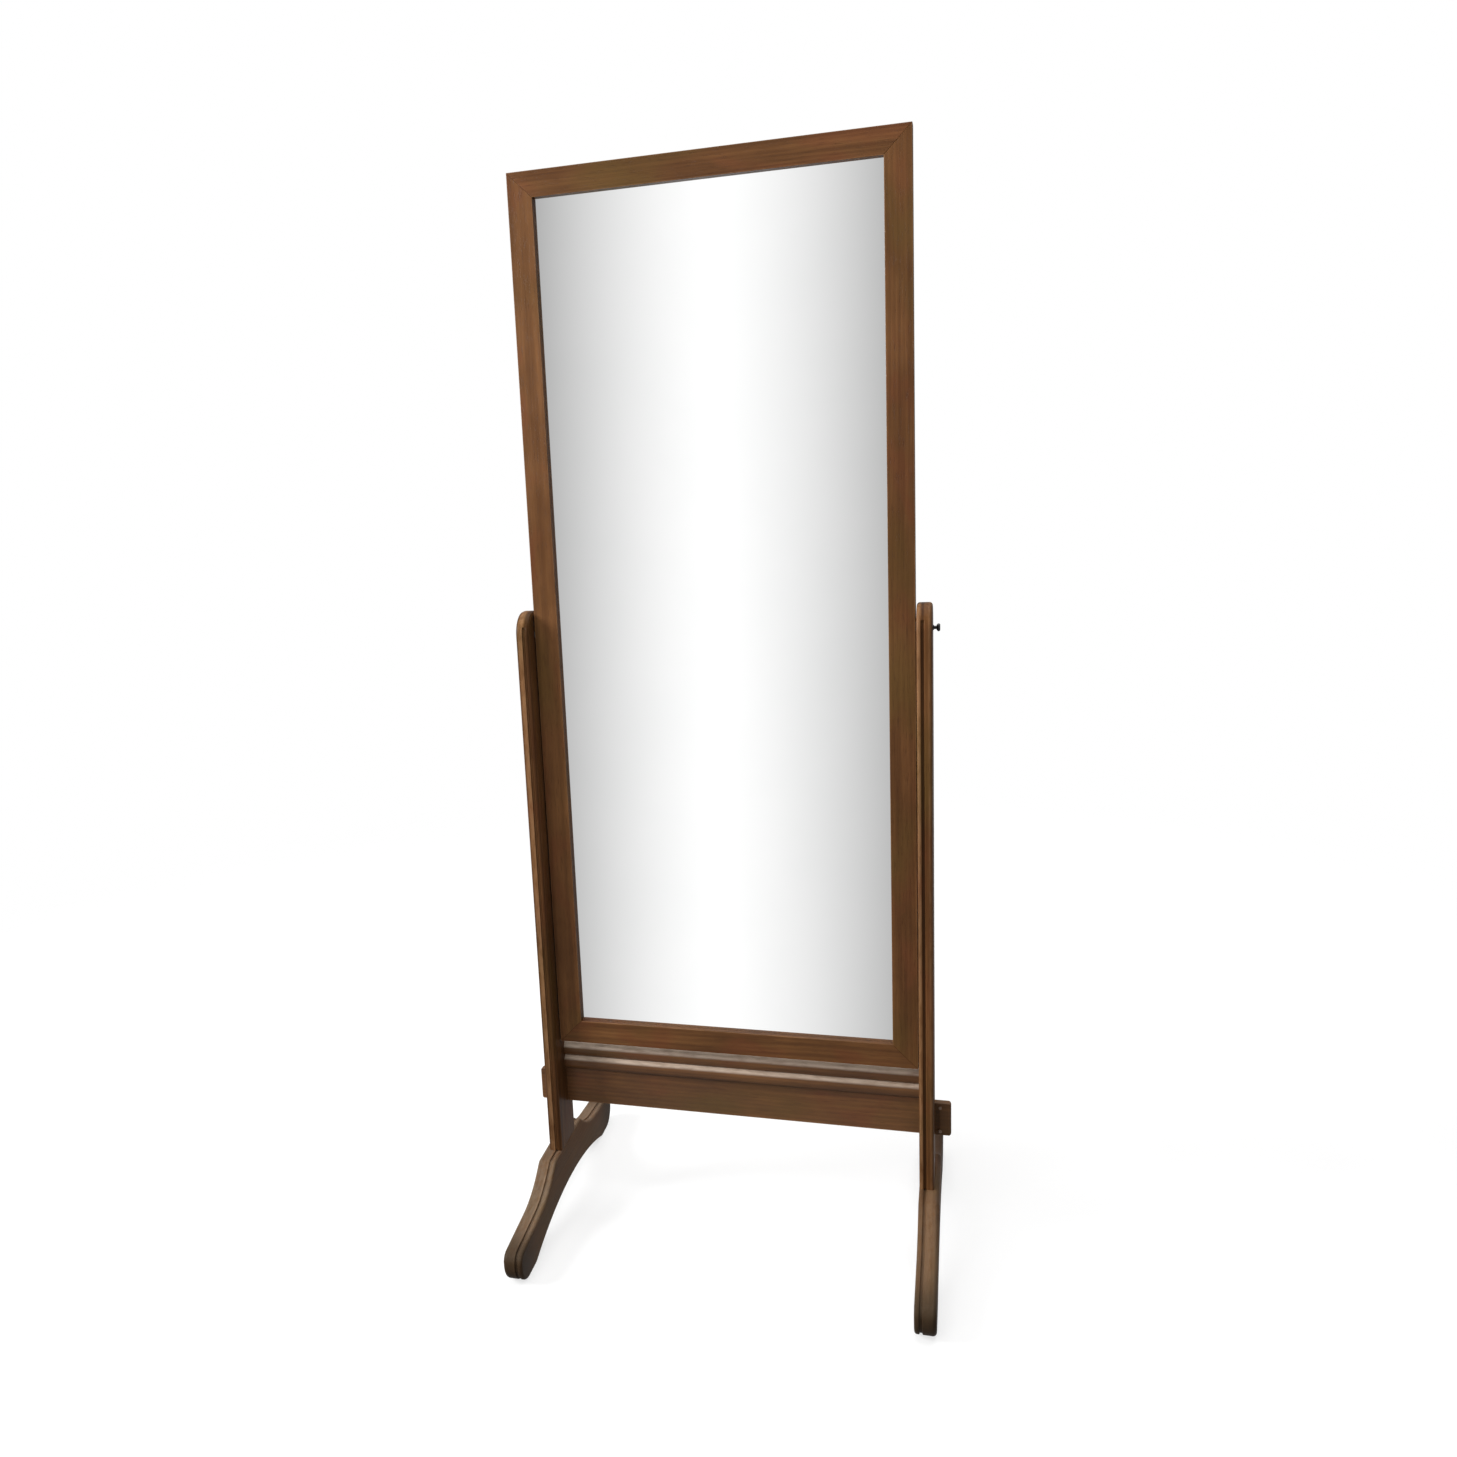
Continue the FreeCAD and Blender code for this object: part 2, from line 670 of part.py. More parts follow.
rail = new_body("stretcher")
rail_sketch = body_sketch(rail, "YZ_Plane", "stretcher_profile")
outline(rail_sketch, [
    ("rail_front", "rail_low", None),
    ("rail_back", "rail_low", None),
    ("rail_back", "rail_top", None),
    ("rail_front", "rail_top", None),
    ("rail_front", "reed_mid", None),
    ("rail_front", "reed_low", None),
], arcs={3: "-top_reed_bulge", 4: "-low_reed_bulge"})
pad(rail, "stretcher_length", rail_sketch, "2 * post_inner")
tenon_sketch = body_sketch(rail, "YZ_Plane", "tenon_section")
outline(tenon_sketch, [
    ("rail_front", "rail_low", None),
    ("tenon_back", "rail_low", None),
    ("tenon_back", "rail_low + tenon_height", None),
    ("rail_front", "rail_low + tenon_height", None),
])
pad(rail, "stretcher_tenons", tenon_sketch, "2 * tenon_end")


def tenon_arris(edge):
    return any(lies_in(edge, "X", side * number("tenon_end")) for side in (-1, 1))


rail_eased = rounded("stretcher_eased", rail, "tenon_round", tenon_arris)
peg_holes = []
peg_sets = {}
for side, name in ((-1, "left"), (1, "right")):
    pegs = []
    for height in ("rail_low + peg_low", "rail_low + tenon_height - peg_high"):
        tag = f"{name}_{len(pegs)}"
        x = f"{side} * peg_x"
        peg_holes.append(cylinder(
            "peg_hole_" + tag, "peg_diameter", "tenon_thick + 2", x, "rail_front - 1", height, "+Y"))
        pegs.append(cylinder(
            "peg_" + tag, "peg_diameter", "tenon_thick + 2 * peg_proud",
            x, "rail_front - peg_proud", height, "+Y"))
    peg_sets[name] = pegs
    slot = sorted((f"{side} * (post_outer + slot_start)",
                   f"{side} * (post_outer + slot_start + slot_width)"), key=number)
    peg_holes.append(box(
        f"tenon_slot_{name}", slot, ("rail_front - 1", "rail_front + slot_depth"),
        ("rail_low + peg_low", "rail_low + tenon_height - peg_high")))
keep("stretcher", cut("stretcher_bored", rail_eased, peg_holes))
for name, pegs in peg_sets.items():
    keep(f"{name}_tenon_pegs", group(f"{name}_tenon_peg_pair", pegs))

# ---------------------------------------------------------------- post to foot joint

dowels = [cylinder(
    f"foot_dowel_{'front' if sign < 0 else 'back'}", "dowel_diameter", "2 * dowel_half",
    "post_middle", f"{sign} * dowel_offset", "foot_shoulder - dowel_half", "+Z")
    for sign in (-1, 1)]
keep("right_foot_dowels", group("right_foot_dowel_pair", dowels))

bolt_shank = cylinder(
    "foot_bolt_shank", "bolt_diameter", "nut_z + nut_diameter / 2 + 4 - bolt_head_top",
    "post_middle", "0", "bolt_head_top", "+Z")
bolt_cap = cylinder(
    "foot_bolt_cap", "bolt_head", "bolt_head_thick", "post_middle", "0", "bolt_head_top", "-Z")
bolt_socket = cylinder(
    "foot_bolt_socket", "bolt_diameter * 0.7", "bolt_head_thick / 2",
    "post_middle", "0", "bolt_head_top - bolt_head_thick", "+Z")
keep("right_foot_bolt", cut("right_foot_bolt_turned", join("foot_bolt_blank", [bolt_shank, bolt_cap]),
                            [bolt_socket]))

nut_blank = cylinder("barrel_nut_blank", "nut_diameter", "nut_length",
                     "post_outer", "0", "nut_z", "-X")
nut_bore = cylinder("barrel_nut_bore", "bolt_diameter", "nut_diameter + 2",
                    "post_middle", "0", "nut_z - nut_diameter / 2 - 1", "+Z")
keep("right_barrel_nut", cut("right_barrel_nut_bored", nut_blank, [nut_bore]))

# ---------------------------------------------------------------- pivot hardware

insert_blank = cylinder("insert_blank", "insert_diameter", "insert_length",
                        "frame_width / 2", "0", "pivot_height", "-X")
insert_bore = cylinder("insert_bore", "stud_diameter + 2 * running_play", "insert_length + 2",
                       "frame_width / 2 + 1", "0", "pivot_height", "-X")
keep("right_pivot_insert", cut("right_insert_bored", insert_blank, [insert_bore]))

washer_blank = cylinder("washer_blank", "washer_diameter", "washer_thick",
                        "post_inner", "0", "pivot_height", "-X")
washer_bore = cylinder("washer_bore", "stud_diameter + 2 * running_play", "washer_thick + 2",
                       "post_inner + 1", "0", "pivot_height", "-X")
keep("right_pivot_washer", cut("right_washer_bored", washer_blank, [washer_bore]))


def turned(name, profile, x):
    """A turned piece: its profile is (distance along X from x, radius), closed on the axis."""
    sketch = doc.addObject("Sketcher::SketchObject", name + "_profile")
    outline(sketch, profile)
    sketch.Placement = FreeCAD.Placement(FreeCAD.Vector(0, 0, 0), TURNS["-Y"])
    bind(sketch, "Placement.Base.x", x)
    bind(sketch, "Placement.Base.z", "pivot_height")
    thing = doc.addObject("Part::Revolution", name)
    thing.Source = sketch
    thing.Solid = True
    thing.Axis = X_AXIS
    thing.Base = FreeCAD.Vector(0, 0, number("pivot_height"))
    thing.Angle = 360
    bind(thing, "Base.z", "pivot_height")
    return thing


bore = "(stud_diameter / 2 + running_play)"
keep("right_ferrule", turned("right_ferrule_turned", [
    ("0", bore, None),
    ("0", "ferrule_diameter / 2", None),
    ("0.6", "ferrule_diameter / 2", None),
    ("ferrule_length * 0.45", f"{bore} + 1.4", "2"),
    ("ferrule_length", f"{bore} + 0.8", None),
    ("ferrule_length", bore, None),
], "post_outer"))
keep("right_knob", turned("right_knob_turned", [
    ("0", "stud_diameter / 2", None),
    ("0", "stud_diameter / 2 + 1", None),
    ("knob_length * 0.35", "knob_diameter / 2", "1.6"),
    ("knob_length", "knob_diameter / 2", "2.2"),
    ("knob_length", "0", None),
    ("knob_length - 1.5", "0", None),
    ("knob_length - 1.5", "stud_diameter / 2", None),
], "post_outer + knob_reach - knob_length"))
keep("right_pivot_stud", cylinder(
    "right_stud", "stud_diameter",
    "post_outer + knob_reach - 1.5 - (frame_width / 2 - stud_in_insert)",
    "frame_width / 2 - stud_in_insert", "0", "pivot_height", "+X"))

for piece in ("post", "foot", "foot_dowels", "foot_bolt", "barrel_nut", "pivot_insert",
              "pivot_washer", "ferrule", "knob", "pivot_stud"):
    keep("left_" + piece, mirrored("left_" + piece + "_mirror", kept["right_" + piece]))

# ---------------------------------------------------------------- checks and files

doc.recompute()
for thing in doc.Objects:
    if "Invalid" in thing.State or "Error" in thing.State:
        raise RuntimeError(f"{thing.Name} did not recompute: {thing.State}")
for label, thing in kept.items():
    shape = thing.Shape
    if shape.isNull() or not shape.isValid() or not shape.Solids:
        raise RuntimeError(f"{label} has no valid solid")
for label, thing in kept.items():
    thing.Shape.exportStep(f"parts/{label}.step")
print(len(kept), "sub-parts")
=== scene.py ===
import json
import math

import bmesh
import bpy
from mathutils import Matrix, Vector

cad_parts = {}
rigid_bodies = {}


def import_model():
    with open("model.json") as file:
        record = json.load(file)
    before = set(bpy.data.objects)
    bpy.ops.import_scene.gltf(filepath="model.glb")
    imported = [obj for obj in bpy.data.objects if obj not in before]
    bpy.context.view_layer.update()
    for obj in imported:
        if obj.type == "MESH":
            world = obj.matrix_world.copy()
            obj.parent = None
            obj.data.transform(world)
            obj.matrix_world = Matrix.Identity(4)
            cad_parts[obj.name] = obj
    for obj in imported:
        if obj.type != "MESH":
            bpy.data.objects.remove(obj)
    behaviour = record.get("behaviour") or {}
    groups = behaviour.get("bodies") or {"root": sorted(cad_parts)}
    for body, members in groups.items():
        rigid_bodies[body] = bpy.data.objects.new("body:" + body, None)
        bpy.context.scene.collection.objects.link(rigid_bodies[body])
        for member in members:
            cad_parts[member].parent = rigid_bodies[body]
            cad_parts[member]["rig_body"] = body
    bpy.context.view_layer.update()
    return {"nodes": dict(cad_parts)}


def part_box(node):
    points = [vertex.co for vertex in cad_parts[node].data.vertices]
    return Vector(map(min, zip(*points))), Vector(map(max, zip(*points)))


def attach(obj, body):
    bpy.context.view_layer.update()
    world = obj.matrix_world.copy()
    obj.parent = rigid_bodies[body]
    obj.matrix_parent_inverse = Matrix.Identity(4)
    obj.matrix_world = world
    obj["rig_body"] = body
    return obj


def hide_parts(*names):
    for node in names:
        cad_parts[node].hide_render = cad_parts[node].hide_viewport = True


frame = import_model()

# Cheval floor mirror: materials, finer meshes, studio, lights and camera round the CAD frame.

NODES = frame["nodes"]
MM = 0.001

# Places that the materials need, read from the frame. The stand and the frame are alike on
# both sides, so the right-hand pieces serve for both.
POST_LOW, POST_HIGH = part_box("right_post")
RAIL_LOW, RAIL_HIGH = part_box("stretcher")
STILE_LOW, STILE_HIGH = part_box("frame_right_stile")
BEAD = 6.8 * MM                       # bead on the inner edge of the posts and feet
GROOVE = 4 * MM                       # groove beside the bead
GROOVE_MIDDLE = POST_LOW.x + BEAD + GROOVE / 2
REED_SPLIT = RAIL_HIGH.z - 24 * MM    # height between the stretcher's two reeds

ALONG_X, ALONG_Y, ALONG_Z = range(3)  # which way a board's grain runs


def srgb(r, g, b):
    """A display colour, 0 to 255, as linear RGBA."""
    def lin(v):
        v /= 255
        return v / 12.92 if v <= 0.04045 else ((v + 0.055) / 1.055) ** 2.4
    return (lin(r), lin(g), lin(b), 1.0)


def darker(color, factor):
    return tuple(c * factor for c in color[:3]) + (1.0,)


# ---------------------------------------------------------------- node trees


class Tree:
    """Builds a node tree in code. Most methods return an output socket."""

    def __init__(self, tree):
        self.tree = tree
        tree.nodes.clear()

    def add(self, kind, **settings):
        node = self.tree.nodes.new(kind)
        for key, value in settings.items():
            setattr(node, key, value)
        return node

    def put(self, socket, value):
        """Links a socket or sets a constant."""
        if isinstance(value, bpy.types.NodeSocket):
            self.tree.links.new(value, socket)
        else:
            socket.default_value = value

    def math(self, operation, a, b=0.0):
        node = self.add("ShaderNodeMath", operation=operation)
        self.put(node.inputs[0], a)
        self.put(node.inputs[1], b)
        return node.outputs[0]

    def times(self, a, b):
        return self.math("MULTIPLY", a, b)

    def plus(self, a, b):
        return self.math("ADD", a, b)

    def minus(self, a, b):
        return self.math("SUBTRACT", a, b)

    def highest(self, a, b):
        return self.math("MAXIMUM", a, b)

    def absolute(self, a):
        return self.math("ABSOLUTE", a)

    def distance(self, a, b):
        """Length of the vector (a, b)."""
        return self.math("SQRT", self.plus(self.times(a, a), self.times(b, b)))

    def smooth(self, value, low, high, to_low=0.0, to_high=1.0):
        """Smooth step of value between low and high."""
        node = self.add("ShaderNodeMapRange", interpolation_type="SMOOTHSTEP")
        for slot, number in zip((1, 2, 3, 4), (low, high, to_low, to_high)):
            node.inputs[slot].default_value = number
        self.put(node.inputs[0], value)
        return node.outputs[0]

    def mix(self, factor, a, b, blend="MIX"):
        node = self.add("ShaderNodeMix", data_type="RGBA", blend_type=blend)
        self.put(node.inputs["Factor"], factor)
        self.put(node.inputs["A"], a)
        self.put(node.inputs["B"], b)
        return next(o for o in node.outputs if o.type == "RGBA")

    def stain(self, color, field, low, high, strength, tint):
        """Tints a colour where a field rises from low to high."""
        return self.mix(self.times(self.smooth(field, low, high), strength), color, tint)

    def coordinates(self, shift=(0.0, 0.0, 0.0)):
        """Object coordinates, in metres: the same as the frame's at rest."""
        place = self.add("ShaderNodeTexCoord").outputs["Object"]
        move = self.add("ShaderNodeVectorMath", operation="ADD")
        self.put(move.inputs[0], place)
        move.inputs[1].default_value = shift
        return move.outputs[0]

    def normals(self):
        """X, Y and Z of the surface's normal."""
        return self.split(self.add("ShaderNodeTexCoord").outputs["Normal"])

    def split(self, vector):
        node = self.add("ShaderNodeSeparateXYZ")
        self.put(node.inputs[0], vector)
        return list(node.outputs)

    def join(self, x, y, z):
        node = self.add("ShaderNodeCombineXYZ")
        for socket, value in zip(node.inputs, (x, y, z)):
            self.put(socket, value)
        return node.outputs[0]

    def stretch(self, vector, scale):
        node = self.add("ShaderNodeVectorMath", operation="MULTIPLY")
        self.put(node.inputs[0], vector)
        node.inputs[1].default_value = scale
        return node.outputs[0]

    def noise(self, vector, scale=1.0, detail=2.0, roughness=0.5, distortion=0.0):
        node = self.add("ShaderNodeTexNoise")
        self.put(node.inputs["Vector"], vector)
        node.inputs["Scale"].default_value = scale
        node.inputs["Detail"].default_value = detail
        node.inputs["Roughness"].default_value = roughness
        node.inputs["Distortion"].default_value = distortion
        return node.outputs["Fac"]

    def bump(self, height, distance, strength=1.0):
        node = self.add("ShaderNodeBump")
        node.inputs["Strength"].default_value = strength
        node.inputs["Distance"].default_value = distance
        self.put(node.inputs["Height"], height)
        return node.outputs[0]

    def output(self, shader, kind="ShaderNodeOutputMaterial"):
        self.tree.links.new(shader.outputs[0], self.add(kind).inputs[0])

    def surface(self, color, roughness, normal, **constants):
        """A Principled shader; the constants are set on its own sockets."""
        shader = self.add("ShaderNodeBsdfPrincipled")
        self.put(shader.inputs["Base Color"], color)
        self.put(shader.inputs["Roughness"], roughness)
        if normal is not None:
            self.put(shader.inputs["Normal"], normal)
        for name, value in constants.items():
            shader.inputs[name.replace("_", " ")].default_value = value
        self.output(shader)


def material(name):
    made = bpy.data.materials.new(name)
    made.use_nodes = True
    return made, Tree(made.node_tree)


# ---------------------------------------------------------------- wood

WOOD_DARK = srgb(60, 34, 17)
WOOD_MID = srgb(97, 63, 34)
WOOD_LIGHT = srgb(123, 83, 48)
WOOD_RED = srgb(110, 60, 37)
WOOD_OLIVE = srgb(91, 69, 32)
# Pale wear, which also paints a highlight on the moulded strips that face the light.
WOOD_WEAR_AND_HIGHLIGHT = srgb(168, 128, 92)
WOOD_DUST = srgb(106, 87, 66)
WOOD_TOE = srgb(54, 44, 33)
WOOD_SETTLED = srgb(118, 106, 92)
# Painted highlight on the tops of the stretcher's reeds.
WOOD_PAINTED_HIGHLIGHT = srgb(214, 194, 175)
# Painted shade, mixed into moulded strips that face away from the light, into grooves and
# behind the posts.
WOOD_PAINTED_SHADE = srgb(40, 20, 8)

# Noises of the wood, in features per metre: twice across the board, then along it.
BEND_SCALE = (5, 5, 1.1)
RIPPLE_SCALE = (60, 60, 5)
STREAK_SCALE = (70, 70, 1.6)
FIBRE_SCALE = (900, 900, 22)
PORE_SCALE = (1400, 1400, 45)
CLOUD_SCALE = (13, 13, 5.5)
MOTTLE_SCALE = (26, 26, 12)
BLOTCH_SCALE = (9, 9, 4)
SPOT_SCALE = (150, 150, 30)

# Growth rings.
RING_GAP = 6.5 * MM
RING_BEND = 0.05
RING_RIPPLE = 4.0
HEART_BESIDE = 0.085

RELIEF = 0.25 * MM
DUST_TOP = 0.13             # height that the dust thins out at
TOE_FROM, TOE_TO = 0.17, 0.265
# Depths over which the painted shadow of the posts comes in behind them.
REAR_FROM, REAR_TO = 0.02, 0.06


def figure(t, u, v, along):
    """The figure of a board, as its colour and the fields that it is made of."""
    board = t.join(u, v, along)

    def field(scale, times=1.0, detail=2.0, roughness=0.5):
        return t.noise(t.stretch(board, scale), times, detail, roughness)

    # Growth rings: cylinders round a heart beside the board, bent by slow noise along it.
    du = t.plus(u, t.times(field(BEND_SCALE), RING_BEND))
    dv = t.plus(v, HEART_BESIDE)
    ripple = t.times(field(RIPPLE_SCALE), RING_RIPPLE)
    phase = t.plus(t.times(t.distance(du, dv), 2 * math.pi / RING_GAP), ripple)
    rings = t.smooth(t.math("SINE", phase), -0.9, 1.0)

    fields = {
        "streaks": field(STREAK_SCALE, detail=3.0, roughness=0.6),
        "fibres": field(FIBRE_SCALE, roughness=0.6),
        "pores": t.smooth(field(PORE_SCALE, detail=1.0), 0.63, 0.74),
        "cloud": field(CLOUD_SCALE, detail=3.0, roughness=0.6),
        "spots": t.smooth(field(SPOT_SCALE, detail=3.0, roughness=0.65), 0.30, 0.62),
    }
    color = t.mix(t.smooth(fields["cloud"], 0.3, 0.72), WOOD_MID, WOOD_LIGHT)
    color = t.stain(color, fields["streaks"], 0.42, 0.75, 0.55, WOOD_DARK)
    color = t.mix(t.times(rings, 0.20), color, WOOD_DARK)
    color = t.stain(color, field(MOTTLE_SCALE), 0.5, 0.72, 0.40, WOOD_RED)
    color = t.stain(color, field(BLOTCH_SCALE, 1.3), 0.50, 0.72, 0.60, WOOD_OLIVE)
    color = t.stain(color, fields["fibres"], 0.35, 0.75, 0.22, WOOD_DARK)
    color = t.mix(t.times(fields["pores"], 0.5), color, WOOD_DARK)
    return color, fields


def line_wear(t, axes, lines):
    """1 on any of the lines, falling to 0 at its radius.

    A line is (axis, value, axis, value, radius).
    """
    total = None
    for first, a, second, b, radius in lines:
        away = t.distance(t.minus(axes[first], a), t.minus(axes[second], b))
        near = t.smooth(away, 0.25 * radius, radius, 1.0, 0.0)
        total = near if total is None else t.highest(total, near)
    return total


def strip(t, axes, centre, reach, strength):
    """A soft strip across X: full strength in its middle, nothing beyond its reach."""
    off = t.absolute(t.minus(axes["x"], centre))
    return t.smooth(off, 0.35 * reach, reach, strength, 0.0)


def paint_reed_highlight(t, color, spots, px, py, pz, across, strength):
    """Paints a highlight on the upward tops of the stretcher's reeds between the posts."""
    up = t.normals()[2]
    up = t.minus(up, t.smooth(pz, REED_SPLIT - 1 * MM, REED_SPLIT, 0.25, 0.0))
    paled = t.times(t.smooth(up, 0.15, 0.5), t.plus(t.times(spots, 0.4), 0.6))
    paled = t.times(paled, t.smooth(px, RAIL_LOW.x, RAIL_HIGH.x, 1.0, 0.75))
    paled = t.times(paled, t.smooth(py, 14 * MM, 22 * MM, 1.0, 0.25))
    between = t.smooth(across, POST_LOW.x, POST_LOW.x + 1 * MM, strength, 0.0)
    return t.mix(t.times(paled, between), color, WOOD_PAINTED_HIGHLIGHT)


def dusty(t, color, fields, py, pz, strength):
    """Soil low down, dust on upward faces, and dark toes."""
    low = t.smooth(pz, 0.0, DUST_TOP, 1.0, 0.25)
    soil = t.times(low, t.smooth(fields["cloud"], 0.2, 0.8, 0.30, 0.85))
    color = t.mix(soil, color, WOOD_DUST)
    settled = t.times(t.smooth(t.normals()[2], 0.1, 0.6, 0.0, strength),
                      t.plus(t.times(fields["spots"], 0.6), 0.4))
    color = t.mix(settled, color, WOOD_SETTLED)
    return t.mix(t.smooth(t.absolute(py), TOE_FROM, TOE_TO, 0.0, 0.8), color, WOOD_TOE)


def wood(name, grain, shift, brightness=1.0, wear_lines=(), band_highlight_and_wear=(), band_shade=(),
         dust=0.0, gloss=0.4, wear_and_highlight_strength=0.4, gleam=0.25, lit_tops=0.0, rear_shade=0.0):
    """Stained wood.

    shift is where in the log the board lies. wear_lines are the arrises that wear lightens, as
    line_wear takes them. The two band lists paint strips of a moulded edge, each a list of
    (distance across X, reach, strength): the first pale, as wear and a painted highlight where
    the edge faces the light, the second dark, as painted shade where it faces away from the
    light and in its groove. dust greys a foot, lit_tops paints a highlight on the tops of the
    reeds and rear_shade paints the shadow of the posts on what is behind them: each is a
    strength, and 0 leaves it out.
    gloss is the middle roughness and gleam the specular level.
    """
    made, t = material(name)
    px, py, pz = t.split(t.coordinates())
    axes = {"x": t.absolute(px), "y": py, "z": pz}
    parts = t.split(t.coordinates(shift))
    u, v = [part for axis, part in enumerate(parts) if axis != grain]
    color, fields = figure(t, u, v, parts[grain])
    if brightness != 1.0:
        color = t.mix(1.0, color, (brightness, brightness, brightness, 1.0), "MULTIPLY")

    wear_and_highlight = line_wear(t, axes, wear_lines)
    # Moulded strips: the pale ones are wear and painted highlight on beads that face the
    # light, the dark ones painted shade on beads that face away and in grooves.
    if band_highlight_and_wear or band_shade:
        edge_on = t.smooth(t.absolute(t.normals()[0]), 0.55, 0.97, 1.0, 0.0)
        for band in band_highlight_and_wear:
            paled = t.times(strip(t, axes, *band), edge_on)
            wear_and_highlight = paled if wear_and_highlight is None else t.highest(wear_and_highlight, paled)
        for band in band_shade:
            color = t.mix(t.times(strip(t, axes, *band), edge_on), color, WOOD_PAINTED_SHADE)
    # Pale arris wear, together with the painted highlight of the pale strips.
    if wear_and_highlight is not None:
        patchy = t.times(wear_and_highlight, t.plus(t.times(fields["spots"], 0.75), 0.25))
        color = t.mix(t.times(patchy, wear_and_highlight_strength), color, WOOD_WEAR_AND_HIGHLIGHT)
    # Painted highlight on the reeds' tops.
    if lit_tops:
        color = paint_reed_highlight(t, color, fields["spots"], px, py, pz, axes["x"], lit_tops)
    if dust:
        color = dusty(t, color, fields, py, pz, dust)
    # Painted shadow of the posts on what lies behind them.
    if rear_shade:
        color = t.mix(t.smooth(py, REAR_FROM, REAR_TO, 0.0, rear_shade), color, WOOD_PAINTED_SHADE)

    roughness = t.smooth(fields["cloud"], 0.2, 0.8, gloss - 0.06, gloss + 0.12)
    height = t.plus(t.times(fields["fibres"], 0.5), t.times(fields["pores"], -0.9))
    height = t.plus(height, t.times(fields["streaks"], 0.6))
    t.surface(color, roughness, t.bump(height, RELIEF, 0.55), Specular_IOR_Level=gleam)
    return made


# ---------------------------------------------------------------- other materials


def plain(name, color, roughness, fleck, fleck_scale, bump=0.05 * MM, **constants):
    """A fine fleck and an uneven roughness, for metal, plastic, felt and end grain."""
    made, t = material(name)
    place = t.coordinates()
    fine = t.noise(place, fleck_scale, 3.0, 0.6)
    broad = t.noise(place, fleck_scale / 12)
    tone = t.mix(t.smooth(fine, 0.3, 0.7), darker(color, 1 - fleck), color)
    rough = t.smooth(broad, 0.25, 0.75, roughness * 0.8, min(1.0, roughness * 1.25))
    t.surface(tone, rough, t.bump(fine, bump), **constants)
    return made


def turned_metal(name, color, roughness, **constants):
    """Metal with fine turning marks round the tilt axis, which runs along X."""
    made, t = material(name)
    x = t.split(t.coordinates())[0]
    marks = t.noise(t.stretch(t.join(x, 0.0, 0.0), (5200, 1, 1)))
    fine = t.noise(t.coordinates(), 900.0)
    tone = t.mix(t.smooth(fine, 0.3, 0.7), darker(color, 0.7), color)
    rough = t.smooth(marks, 0.3, 0.7, roughness * 0.8, roughness * 1.2)
    t.surface(tone, rough, t.bump(marks, 0.02 * MM, 0.6), **constants)
    return made


def hardboard(name):
    """Brown hardboard with its fine mat of fibres."""
    made, t = material(name)
    place = t.coordinates()
    fibres = t.noise(t.stretch(place, (420, 420, 420)), 1.0, 4.0, 0.7, 0.8)
    patches = t.noise(place, 9.0, 3.0, 0.6)
    color = t.mix(t.smooth(patches, 0.3, 0.7), srgb(122, 86, 56), srgb(146, 106, 72))
    color = t.stain(color, fibres, 0.45, 0.7, 0.5, srgb(92, 62, 38))
    t.surface(color, t.smooth(fibres, 0.2, 0.8, 0.62, 0.85), t.bump(fibres, 0.15 * MM, 0.7),
              Specular_IOR_Level=0.3)
    return made


def mirror(name):
    """Silvered glass: clean, with the faintest uneven haze."""
    made, t = material(name)
    haze = t.noise(t.coordinates(), 5.0, 3.0, 0.6)
    color = t.mix(t.smooth(haze, 0.3, 0.7), (0.908, 0.912, 0.910, 1), (0.925, 0.926, 0.925, 1))
    t.surface(color, t.smooth(haze, 0.3, 0.8, 0.008, 0.02), None, Metallic=1.0)
    return made


# ---------------------------------------------------------------- looks of the nodes

ARRIS_WEAR = 1.8 * MM
FRONT = ("y", STILE_LOW.y, ARRIS_WEAR)
FACE_WIDTH = STILE_HIGH.x - STILE_LOW.x


def front_lines(axis, *values):
    """Wear lines along the front arrises at these distances."""
    return [(axis, value) + FRONT for value in values]


STILE_LINES = front_lines("x", STILE_HIGH.x, STILE_LOW.x)
RAIL_LINES = front_lines("z", STILE_HIGH.z, STILE_HIGH.z - FACE_WIDTH,
                         STILE_LOW.z, STILE_LOW.z + FACE_WIDTH)
STRETCHER_LINES = [("y", RAIL_LOW.y + 9 * MM, "z", RAIL_LOW.z, 2.5 * MM)]

FRAME_FINISH = {"wear_and_highlight_strength": 0.25, "gleam": 0.15}
POST_FINISH = {"brightness": 0.95, "gleam": 0.08}
FOOT_FINISH = {"gleam": 0.04}
# Painted shade in the feet's groove.
FOOT_GROOVE_SHADE = (GROOVE_MIDDLE, 2.5 * MM, 0.2)

steel = plain("zinc_steel", (0.52, 0.53, 0.54, 1), 0.34, 0.3, 700.0, Metallic=1.0)
brass = turned_metal("insert_brass", (0.70, 0.50, 0.20, 1), 0.3, Metallic=1.0)
black_metal = turned_metal("black_metal", (0.020, 0.020, 0.022, 1), 0.38)
black_knob = plain("black_knob", (0.014, 0.014, 0.015, 1), 0.32, 0.3, 1200.0)
peg_wood = plain("peg_wood", srgb(158, 132, 114), 0.4, 0.3, 900.0)

